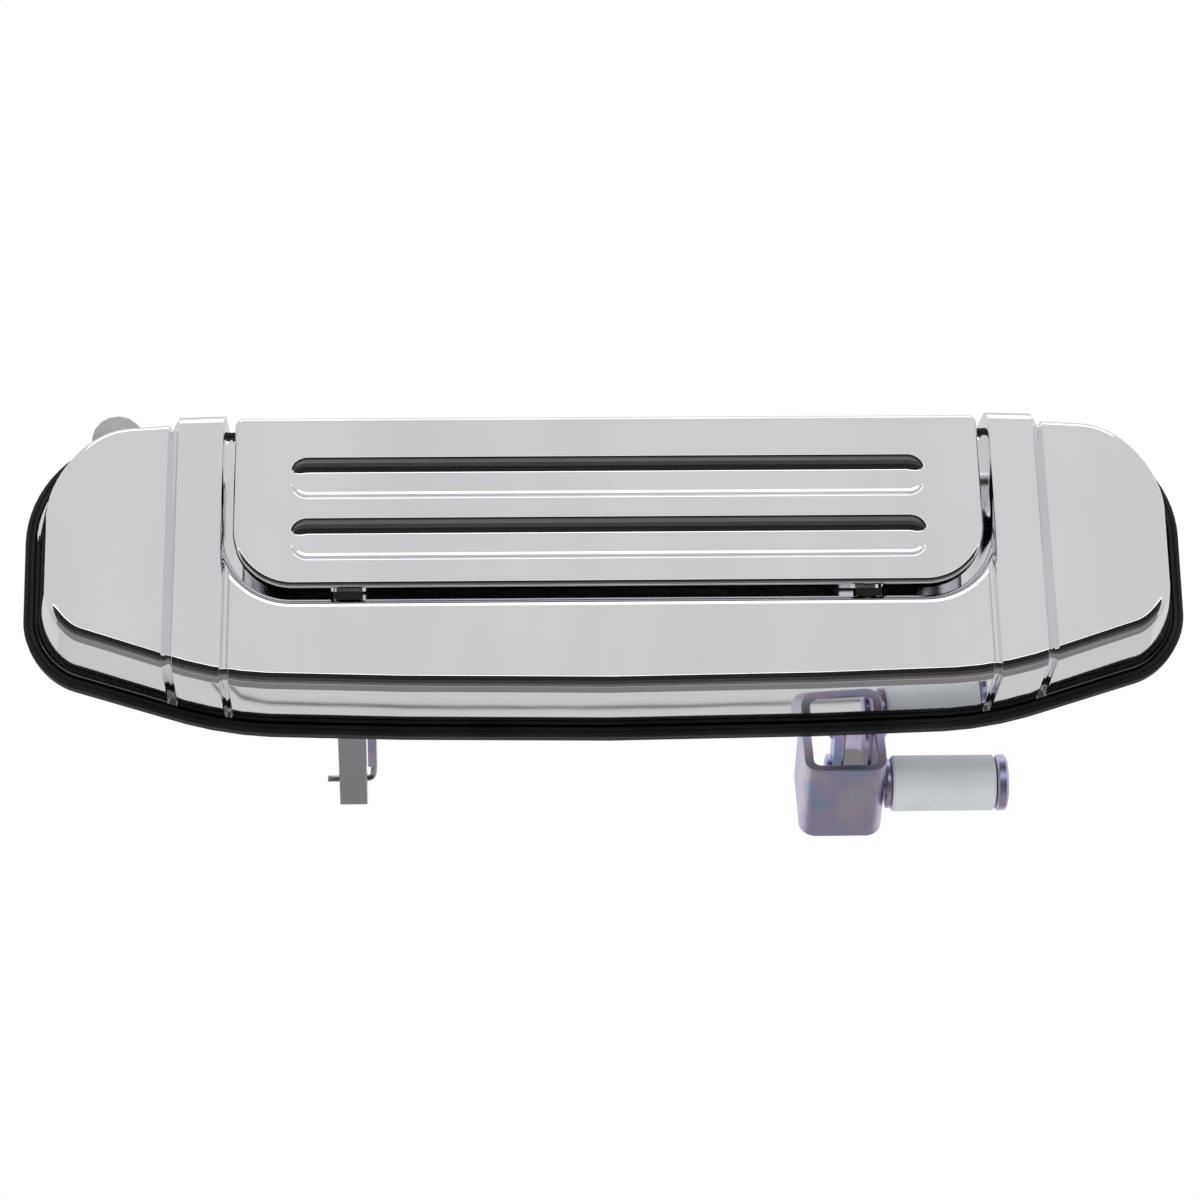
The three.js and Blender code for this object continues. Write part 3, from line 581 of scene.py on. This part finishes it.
makeGasket()
print("seal made")


# pull flap with its arms
flap = {"half": 68.2, "top": 25.5, "bottom": -7, "thickness": 3.5, "lowRadius": 11, "topRadius": 1.6,
        "edgeRound": 1.0, "backRound": 0.4}
flute = {"half": 57.9, "height": 7.6, "depth": 1.5, "lip": 0.45, "levels": [13.6, 1.9],
         "lipTurn": 48, "lipRings": 5, "floorRings": 9, "straight": 0.5, "flat": 1.0}
tail = {"kneeY": 3.5, "kneeZ": -21, "slope": math.radians(27), "length": 28.5, "halfThick": 2.6, "chamfer": 2,
        "edge": 0.35, "neck": [(-15.6, -9.6), (-17.1, -6), (-17.1, 2), (-16.6, 2), (-10.6, -9.2)]}
springHole = {"along": 22, "radius": 1.25}


def onTail(along, below):
    # place along an arm's tail from the knee, and below its middle line, as (y, z)
    c, s = math.cos(tail["slope"]), math.sin(tail["slope"])
    return tail["kneeY"] + along * c - below * s, tail["kneeZ"] - along * s - below * c


def sideProfile(points, x0, x1, edge):
    # closed side view (y, z) carried along X, with its edges rounded
    bm = bmesh.new()
    face = bm.faces.new([bm.verts.new((x0 * mm, y * mm, z * mm)) for y, z in points])
    carried = bmesh.ops.extrude_face_region(bm, geom=[face], use_keep_orig=True)
    bmesh.ops.translate(bm, verts=[g for g in carried["geom"] if isinstance(g, bmesh.types.BMVert)],
                        vec=((x1 - x0) * mm, 0, 0))
    bmesh.ops.recalc_face_normals(bm, faces=bm.faces)
    sharp = [e for e in bm.edges if e.calc_face_angle(0) > math.radians(25)]
    bmesh.ops.bevel(bm, geom=sharp, offset=edge * mm, segments=2, profile=0.5, affect="EDGES",
                    material=-1, clamp_overlap=True)
    return bm


def armProfile():
    # from the flap round the hinge, over the knee to the end of the tail and back under it, as (y, z)
    y, z, radius = hinge["y"], hinge["z"], hinge["knuckle"]
    length, chamfer, half = tail["length"], tail["chamfer"], tail["halfThick"]
    run = Vector((tail["kneeY"] - y, tail["kneeZ"] - z)).normalized()
    down = Vector((run.y, -run.x)) * half
    front, back = [[(y + radius * math.cos(math.radians(a)), z + radius * math.sin(math.radians(a))) for a in angles]
                   for angles in (range(260, 132, -16), range(60, -20, -16))]
    over = [onTail(0.5, -half), onTail(length, -half)]
    under = [onTail(length, half - chamfer), onTail(length - chamfer, half), onTail(0, half)]
    start = [(y + down.x + run.x * 2, z + down.y + run.y * 2)]
    return front + tail["neck"] + back + over + under + start


def makeFlute(level):
    # cutter with a rolled lip and a round floor
    lip, depth, rings = flute["lip"], flute["depth"], flute["floorRings"]
    half, reach = flute["height"] / 2 + lip, flute["half"] + lip
    corners = [(x, level + z, half - flute["straight"]) for x, z in
               ((-reach, -half), (reach, -half), (reach, half), (-reach, half))]
    start = math.radians(flute["lipTurn"])
    lipTurns = [start * i / flute["lipRings"] for i in range(flute["lipRings"] + 1)]
    flare = [(lip * 2 * (math.sin(b) - math.sin(a)), lip * 2 * (math.cos(a) - math.cos(b)))
             for a, b in zip(lipTurns, lipTurns[1:])]
    acrossLeft = half - sum(across for across, down in flare) - flute["flat"]
    depthLeft = depth - sum(down for across, down in flare)
    floor = []
    for i in range(rings):
        a, b = start * (1 - i / rings), start * (1 - (i + 1) / rings)
        floor.append((math.sin(a) - math.sin(b), math.cos(b) - math.cos(a)))
    wide, deep = (sum(step) for step in zip(*floor))
    floor = [(across / wide * acrossLeft, down / deep * depthLeft) for across, down in floor]
    return ringedBlock(corners, -casting["depth"] - hair, flare + floor, towardDoor=True)


def makeFlap():
    half, low, high = flap["half"], flap["bottom"], flap["top"]
    corners = [(leaning(half, low, -1), low, flap["lowRadius"]), (leaning(half, low, 1), low, flap["lowRadius"]),
               (leaning(half, high, 1), high, flap["topRadius"]), (leaning(half, high, -1), high, flap["topRadius"])]
    back, turn = flap["backRound"], flap["edgeRound"]
    steps = [(-back, back), (0, flap["thickness"] - back - turn), *roundSteps(turn, 8)]
    bm = ringedBlock(movedIn(corners, back), flap["thickness"] - casting["depth"], steps)
    for level in flute["levels"]:
        bmesh.ops.bisect_plane(bm, geom=bm.verts[:] + bm.edges[:] + bm.faces[:], dist=1e-8,
                               plane_co=(0, 0, level * mm), plane_no=(0, 0, 1))
    bm = cutOut(bm, *[makeFlute(level) for level in flute["levels"]])
    for start, width in arms.values():
        arm = sideProfile(armProfile(), start, start + width, tail["edge"])
        arm = cutOut(arm, turned(rod(bush["bore"], start - past, start + width + past), "x", hingePlace))
        bm = fuse(bm, arm)
    place = (0, *onTail(springHole["along"], 0))
    bm = cutOut(bm, turned(rod(springHole["radius"], -51, -44), "x", place, 24))
    for along in rivets["along"]:
        place = (0, *onTail(along, -rivets["raise"]))
        bm = cutOut(bm, turned(rod(rivets["radius"] + rivets["gap"], 44, 50), "x", place, 24))
    finishPiece(bm, "pull_flap", "flap", "chrome", ["flap"])


rivets = {"along": [9.2, 19.8], "raise": 0.2, "radius": 1.5, "gap": 0.3, "head": 2.3, "headHeight": 1.0}
bush = {"outer": 3.36, "inner": 2.5, "bore": 3.53, "edge": 0.15}
makeFlap()
print("flap made")


# hinge: pin, clips, bushes, bracket and its screws
pin = {"start": -56.3, "end": 55.7, "radius": 2.4, "edge": 0.3, "grooves": [-55.2, 53.7], "grooveRadius": 1.8,
       "play": 0.1}
clip = {"outer": 3.6, "inner": 1.95, "width": 0.9, "edge": 0.12, "mouth": 1.3}
screwThread = 0.5  # pitch of the bracket's screws


def makeHinge():
    radius, edge, play = pin["radius"], pin["edge"], pin["play"]
    profile = [(pin["start"], 0), (pin["start"], radius - edge), (pin["start"] + edge, radius)]
    for near in pin["grooves"]:
        far = near + clip["width"] + play
        profile += [(near - play, radius), (near - play, pin["grooveRadius"])]
        profile += [(far, pin["grooveRadius"]), (far, radius)]
    profile += [(pin["end"] - edge, radius), (pin["end"], radius - edge), (pin["end"], 0)]
    finishPiece(turned(profile, "x", hingePlace), "hinge_rod", "bezel", "steel", ["hinge_pin"])
    for name, near in zip(sides, pin["grooves"]):
        ring = turned(tube(clip["outer"], clip["inner"], near, near + clip["width"], clip["edge"]), "x", hingePlace)
        y, z, mouth = hinge["y"], hinge["z"], clip["mouth"]
        ring = cutOut(ring, block((near - past, y - mouth, z - 6), (near + 2 * past, y + mouth, z)))
        finishPiece(ring, "clip_" + name, "bezel", "steel", ["pin_clip_" + name])
        start, width = arms[name]
        sleeve = turned(tube(bush["outer"], bush["inner"], start, start + width, bush["edge"]), "x", hingePlace)
        finishPiece(sleeve, "bush_" + name, "flap", "nylon", ["arm_bush_" + name])
    finishPiece(fromNode("hinge_bracket", 0.2), "bracket", "bezel", "zinc_plate", ["hinge_bracket"])
    for name, side in sides.items():
        low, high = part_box("bracket_screw_" + name)
        top, head = high.z / mm, low.z / mm
        # a recess in the head, the rounded head, then the shank
        profile = [(head + 1.0, 0), (head + 1.0, 1.1), (head, 1.3), (head, 2.4), (head + 0.5, 3.0), (head + 1.6, 3.0),
                   *threadProfile(bracketScrew["radius"], screwThread, head + 1.6, top - 0.4), (top, 1.1), (top, 0)]
        screw = turned(profile, "z", (side * bracketScrew["x"], bracketScrew["y"], 0), 32)
        finishPiece(screw, "screw_" + name, "bezel", "zinc_plate", ["bracket_screw_" + name])


def threadProfile(radius, pitch, start, end):
    # rings of a thread seen from the side
    points = []
    count = int((end - start) / pitch)
    for i in range(count):
        along = start + i * (end - start) / count
        points += [(along, radius - pitch * 0.5), (along + pitch * 0.45, radius), (along + pitch * 0.55, radius)]
    return points + [(end, radius - pitch * 0.5)]


makeHinge()
print("hinge made")


# plates beside the arms, lever strap, rivets and roller
strap = {"inner": 11.8, "sheet": 1.8, "start": 6, "length": 18, "floor": 14, "right": 51.5, "top": 3.4,
         "step": 2, "bend": 3.2, "corner": 1, "edge": 0.28}
roller = {"along": 14.5, "below": 9.3, "radius": 5.2, "start": 52.9, "length": 19.2, "pin": 2.5, "head": 2,
          "pinStart": 48.9}


def makePlates():
    for name in sides:
        plate = fromNode("arm_plate_" + name, 0.15)
        finishPiece(plate, "plate_" + name, "flap", "zinc_plate", ["arm_plate_" + name])


def strapBlock(left, right, floor, top, bend, start, end):
    # the strap's outside, or its hollow, before it is tilted
    corner = strap["corner"]
    corners = [(left, -floor, bend), (right, -floor, bend), (right, top, corner), (left, top, corner)]
    return ringedBlock(corners, start, [(0, end - start)], towardDoor=True)


def makeLever():
    # bent sheet: the section across the arm, drawn flat, carried along the tail and then tilted
    sheet, right, bend = strap["sheet"], strap["right"], strap["bend"]
    left = right - strap["inner"] - 2 * sheet
    floor, top, start = strap["floor"], strap["top"], strap["start"]
    clearOf = 40  # along the tail, past the end of the strap
    outside = strapBlock(left, right, floor, top, bend, start, start + strap["length"])
    inside = strapBlock(left + sheet, right - sheet, floor - sheet, top + 6, bend - sheet, start - past, clearOf)
    notch = block((left - past, start - past, top - strap["step"]), (left + sheet + past, clearOf, top + 2))
    bm = cutOut(outside, inside, notch)
    sharp = [edge for edge in bm.edges if edge.calc_face_angle(0) > math.radians(40)]
    bmesh.ops.bevel(bm, geom=sharp, offset=strap["edge"] * mm, segments=3, profile=0.5, affect="EDGES", material=-1,
                    clamp_overlap=True)
    bmesh.ops.rotate(bm, verts=bm.verts, cent=(0, 0, 0), matrix=Matrix.Rotation(-tail["slope"], 3, "X"))
    bmesh.ops.translate(bm, verts=bm.verts, vec=Vector((0, tail["kneeY"], tail["kneeZ"])) * mm)
    holes = [(onTail(along, -rivets["raise"]), rivets["radius"] + 0.2) for along in rivets["along"]]
    holes.append((onTail(roller["along"], roller["below"]), roller["pin"] + 0.15))
    bm = cutOut(bm, *[turned(rod(radius, right - sheet - 0.7, right + 1), "x", (0, *place), 32)
                      for place, radius in holes])
    finishPiece(bm, "strap", "flap", "zinc_plate", ["lever_strap"])
    for name, along in zip(("front", "rear"), rivets["along"]):
        low, high = (corner.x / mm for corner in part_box("lever_rivet_" + name))
        dome, head = rivets["headHeight"], rivets["head"]
        turns = [math.radians(15 * i) for i in range(7)]
        crown = [(dome * (1 - math.cos(a)), head * math.sin(a)) for a in turns]
        profile = [(low + a, r) for a, r in crown] + [(low + dome, rivets["radius"]), (high - dome, rivets["radius"])]
        profile += [(high - a, r) for a, r in reversed(crown)]
        rivet = turned(profile, "x", (0, *onTail(along, -rivets["raise"])), 32)
        finishPiece(rivet, "rivet_" + name, "flap", "zinc_plate", ["lever_rivet_" + name])


def makeRoller():
    place = (0, *onTail(roller["along"], roller["below"]))
    start, end, radius = roller["start"], roller["start"] + roller["length"], roller["radius"]
    wheel = tube(radius, roller["pin"] + 0.1, start, end, 0.35)
    finishPiece(turned(wheel, "x", place, 64), "nylon_roller", "roller", "nylon", ["roller"])
    washer = tube(radius - 0.6, roller["pin"] + 0.15, start - 1.1, start - 0.3, 0.12)
    finishPiece(turned(washer, "x", place, 48), "washer", "flap", "zinc_plate", ["roller_washer"])
    pinStart, pinRadius, head = roller["pinStart"], roller["pin"], end + 0.3
    face = head + roller["head"]
    profile = [(pinStart, 0), (pinStart, pinRadius - 0.3), (pinStart + 0.3, pinRadius), (head, pinRadius),
               (head, radius - 0.3), (head + 0.3, radius), (face - 0.45, radius), (face, radius - 0.45),
               (face, 2.6), (face - 0.25, 2.2), (face - 0.25, 0)]
    finishPiece(turned(profile, "x", place, 64), "axle", "flap", "zinc_plate", ["roller_pin"])


makePlates()
makeLever()
makeRoller()
print("lever made")


# return spring
spring = {"wire": 0.6, "coil": 3.2, "turns": 6.6, "pitch": 1.7, "start": math.pi / 4, "leg": -39.7,
          "beside": -43.6, "over": -3.6, "steps": 20}


def makeSpring():
    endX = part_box("return_spring")[1].x / mm
    legX, beside, over = spring["leg"], spring["beside"], spring["over"]
    hole = springHole["along"]
    y, z = onTail(hole, 0)
    # hooked through the arm, up beside it, along its upper side and across to the coil
    points = [(-52.2, y, z), (-51, y, z), (-47, y, z), (beside - 1.1, y, z), (beside - 0.2, *onTail(hole, -0.4))]
    points += [(beside, *onTail(hole, -1.6)), (beside, *onTail(hole - 0.3, -2.9))]
    points += [(beside, *onTail(along, over)) for along in (20.6, 18, 14, 10, 6)]
    points += [((beside + legX) / 2, 1.8, -17.3), (legX, -0.8, -17.5), (legX, -4.2, -17.6), (legX, -6.6, -16.2)]
    steps = spring["steps"]
    for i in range(int(spring["turns"] * steps) + 1):
        angle = spring["start"] + i / steps * 2 * math.pi
        points.append((legX + i / steps * spring["pitch"], hinge["y"] + spring["coil"] * math.cos(angle),
                       hinge["z"] + spring["coil"] * math.sin(angle)))
    # the fixed leg ends under the bracket
    points += [(endX - spring["wire"], y, z) for y, z in ((-5.4, -18.9), (-4, -16.6), (-2.3, -16.3))]
    curve = bpy.data.curves.new("spring_wire", "CURVE")
    curve.dimensions = "3D"
    curve.bevel_depth = spring["wire"] * mm
    curve.bevel_resolution = 4
    curve.use_fill_caps = True
    curve.resolution_u = 3
    line = curve.splines.new("NURBS")
    line.points.add(len(points) - 1)
    for spot, place in zip(line.points, points):
        spot.co = (*(Vector(place) * mm), 1)
    line.order_u = 4
    line.use_endpoint_u = True
    wire = bpy.data.objects.new("spring_wire", curve)
    bpy.context.scene.collection.objects.link(wire)
    made = wire.evaluated_get(bpy.context.evaluated_depsgraph_get()).to_mesh()
    bm = bmesh.new()
    bm.from_mesh(made)
    bpy.data.objects.remove(wire)
    bmesh.ops.remove_doubles(bm, verts=bm.verts, dist=1e-7)
    bmesh.ops.recalc_face_normals(bm, faces=bm.faces)
    for face in bm.faces:
        face.smooth = True
    mesh = bpy.data.meshes.new("coil_spring")
    bm.to_mesh(mesh)
    bm.free()
    mesh.materials.append(finishes["steel"])
    piece = bpy.data.objects.new("coil_spring", mesh)
    bpy.context.scene.collection.objects.link(piece)
    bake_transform(piece)
    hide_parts("return_spring")


makeSpring()
print("spring made")


# studs, bumpers, ear and its screw
def makeFixings():
    for name, side in sides.items():
        seat, reach, radius = -stud["seat"], stud["reach"], stud["radius"]
        edge, plainEnd = stud["plain"]
        profile = [(seat, 0), (seat, radius - edge), (seat + edge, radius), (plainEnd, radius),
                   *threadProfile(radius, stud["pitch"], plainEnd + sunk, reach - 1.2),
                   (reach, radius - 1.1), (reach, 0)]
        finishPiece(turned(profile, "y", (side * stud["x"], 0, stud["z"]), 40), "threaded_stud_" + name, "bezel",
                    "zinc_plate", ["stud_" + name])
        low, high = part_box("flap_bumper_" + name)
        front, back = low.y / mm, high.y / mm
        radius, stem, foot = bumper["radius"], bumper["stem"], front + bumper["length"]
        profile = [(front, 0), (front, 1.6), (front + 0.5, 2.5), (front + 1, radius), (foot - 0.3, radius),
                   (foot, radius - 0.3), (foot, stem), (back - 0.5, stem), (back, stem - 0.3), (back, 0)]
        finishPiece(turned(profile, "y", (side * bumper["x"], 0, bumper["z"])), "bumper_" + name, "bezel", "rubber",
                    ["flap_bumper_" + name])
    finishPiece(fromNode("mounting_ear", 0.45), "ear", "bezel", "raw_casting", ["mounting_ear"])
    low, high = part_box("ear_screw")
    tip, top = low.y / mm, high.y / mm
    radius, head = earScrew["radius"], top - earScrew["head"]
    profile = [(tip, 0), (tip, 1.0), *threadProfile(radius, earScrew["pitch"], tip + 0.4, head - 0.6), (head, radius),
               (head, 3), (top - 0.6, 3), (top - 0.1, 2.2), (top, 1.4), (top - 0.8, 1.1), (top - 0.8, 0)]
    finishPiece(turned(profile, "y", (earScrew["x"], 0, earScrew["z"]), 40), "ear_fastener", "bezel", "zinc_plate",
                ["ear_screw"])


makeFixings()
print("fixings made")


# floor, light and surroundings
# in metres; soft is how bright the surroundings are in reflections
studio = {"floorZ": -0.36, "floorHalf": 4, "cardHalf": 1.2, "cardsNear": 0.5, "cardsSlope": 1.4, "soft": 0.72}


def makeSurroundings():
    world = bpy.data.worlds.new("studio")
    world.use_nodes = True
    bpy.context.scene.world = world
    tree = world.node_tree
    # white behind the object, a softer light grey in what it reflects
    spot = tree.nodes.new("ShaderNodeLightPath")
    ramp = tree.nodes.new("ShaderNodeMapRange")
    ramp.inputs["To Min"].default_value = studio["soft"]
    ramp.inputs["To Max"].default_value = 1.0
    tree.links.new(spot.outputs["Is Camera Ray"], ramp.inputs["Value"])
    tree.links.new(ramp.outputs[0], tree.nodes["Background"].inputs["Strength"])
    tree.nodes["Background"].inputs["Color"].default_value = (1, 1, 1, 1)


def makeCard(name, corners, colour, shown=False, glow=0.0):
    bm = bmesh.new()
    bm.faces.new([bm.verts.new(corner) for corner in corners])
    mesh = bpy.data.meshes.new(name)
    bm.to_mesh(mesh)
    bm.free()
    card = bpy.data.objects.new(name, mesh)
    bpy.context.scene.collection.objects.link(card)
    paint = bpy.data.materials.new(name)
    paint.use_nodes = True
    sockets = {"Base Color": (*colour, 1), "Roughness": 1, "Emission Color": (1, 1, 1, 1), "Emission Strength": glow}
    for socket, value in sockets.items():
        paint.node_tree.nodes["Principled BSDF"].inputs[socket].default_value = value
    mesh.materials.append(paint)
    card.visible_camera = shown
    card.visible_diffuse = shown
    card.visible_shadow = shown


makeSurroundings()
low, half = studio["floorZ"], studio["floorHalf"]
makeCard("floor", [(-half, -half, low), (half, -half, low), (half, half, low), (-half, half, low)],
         (0.86, 0.86, 0.87), shown=True)
wide = studio["cardHalf"]
# what the lower edges reflect: a bright strip, then cards from dark to grey down to the floor
cards = {"bright_strip": (0.03, 0.0, 0.9, 1.25), "dark_card": (0.0, -0.17, 0.01, 0.0),
         "mid_card": (-0.17, -0.24, 0.06, 0.0), "grey_card": (-0.24, -0.3, 0.16, 0.0)}
for name, (upper, lower, tone, glow) in cards.items():
    near, far = [-studio["cardsNear"] - studio["cardsSlope"] * height for height in (lower, upper)]
    makeCard(name, [(-wide, near, lower), (wide, near, lower), (wide, far, upper), (-wide, far, upper)],
             (tone, tone, tone), glow=glow)
# on the floor under the object: grey for the edges' lower part, and a dark line for the wall
level = studio["floorZ"] + 0.004
for name, near, far, tone in (("under_card", -0.08, 0.42, 0.28), ("line_card", 0.655, 0.675, 0.04)):
    makeCard(name, [(-wide, near, level), (wide, near, level), (wide, far, level), (-wide, far, level)],
             (tone, tone, tone))
key = bpy.data.lights.new("soft_top", "AREA")
key.shape = "RECTANGLE"
key.size, key.size_y = 1.6, 0.8
key.energy = 3
light = bpy.data.objects.new("soft_top", key)
light.location = (0, -0.3, 1.2)
bpy.context.scene.collection.objects.link(light)
bpy.context.scene.view_settings.view_transform = "Standard"
print("light and floor set")
